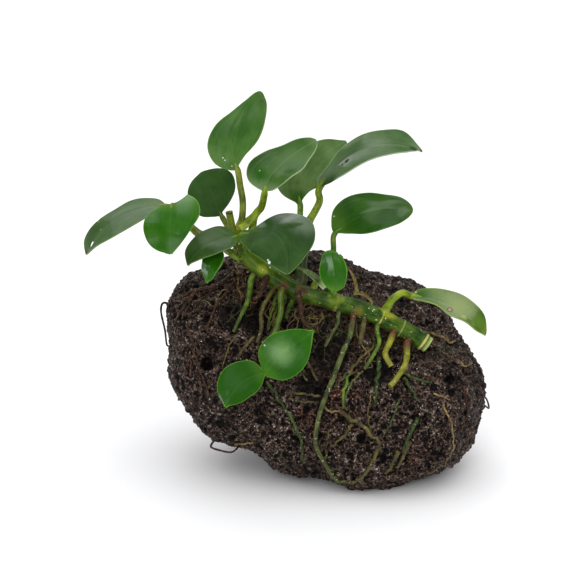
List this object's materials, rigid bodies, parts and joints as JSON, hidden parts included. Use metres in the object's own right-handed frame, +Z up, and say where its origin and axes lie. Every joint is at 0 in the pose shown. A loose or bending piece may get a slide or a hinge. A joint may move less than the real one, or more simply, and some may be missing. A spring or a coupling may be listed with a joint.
{
  "type": "anubias plant on lava stone",
  "caption": "Small broad-leaved water plant whose creeping rhizome and roots hold it to a rounded lump of porous dark lava stone.",
  "frame": {"origin": "on the stone's flat underside, under the middle of the stone", "axes": "+Z up, -Z out of the flat underside; +X along the stone's length to the rhizome's cut end; -Y towards the side with the roots and most leaves"},
  "size_m": [0.1496, 0.0829, 0.1451],
  "materials": {
    "lava": "rough, full of small gas pits, wet",
    "leaf_green": "waxy living leaf, glossy and wet",
    "stem_green": "fleshy green stem, satin and wet",
    "root_olive": "living root, satin",
    "root_brown": "old root, rough"
  },
  "bodies": {
    "root": {"cut_leaf_stalk": "stem_green", "lava_stone": "lava", "leaf_back_left_blade": "leaf_green", "leaf_back_left_stalk": "stem_green", "leaf_back_right_blade": "leaf_green", "leaf_back_right_stalk": "stem_green", "leaf_far_left_blade": "leaf_green", "leaf_far_left_stalk": "stem_green", "leaf_front_centre_blade": "leaf_green", "leaf_front_centre_stalk": "stem_green", "leaf_front_left_blade": "leaf_green", "leaf_front_left_stalk": "stem_green", "leaf_front_low_left_blade": "leaf_green", "leaf_front_low_left_stalk": "stem_green", "leaf_low_right_blade": "leaf_green", "leaf_low_right_stalk": "stem_green", "leaf_mid_right_blade": "leaf_green", "leaf_mid_right_stalk": "stem_green", "leaf_middle_blade": "leaf_green", "leaf_middle_stalk": "stem_green", "leaf_runner_left_blade": "leaf_green", "leaf_runner_right_blade": "leaf_green", "leaf_top_blade": "leaf_green", "leaf_top_stalk": "stem_green", "leaf_upper_right_blade": "leaf_green", "leaf_upper_right_stalk": "stem_green", "leaf_young_hanging_blade": "leaf_green", "leaf_young_hanging_stalk": "stem_green", "leaf_young_upright_blade": "leaf_green", "leaf_young_upright_stalk": "stem_green", "rhizome": "stem_green", "rhizome_branch": "stem_green", "root_bright": "root_olive", "root_brown_draped": "root_brown", "root_brown_knotted": "root_brown", "root_green_left": "root_olive", "root_long": "root_olive", "root_olive": "root_olive", "root_short_pale": "root_olive", "root_stub_pale": "root_olive", "root_yellow_end": "root_olive", "root_yellow_hooked": "root_olive", "runner_stem": "stem_green"}
  },
  "joints": []
}
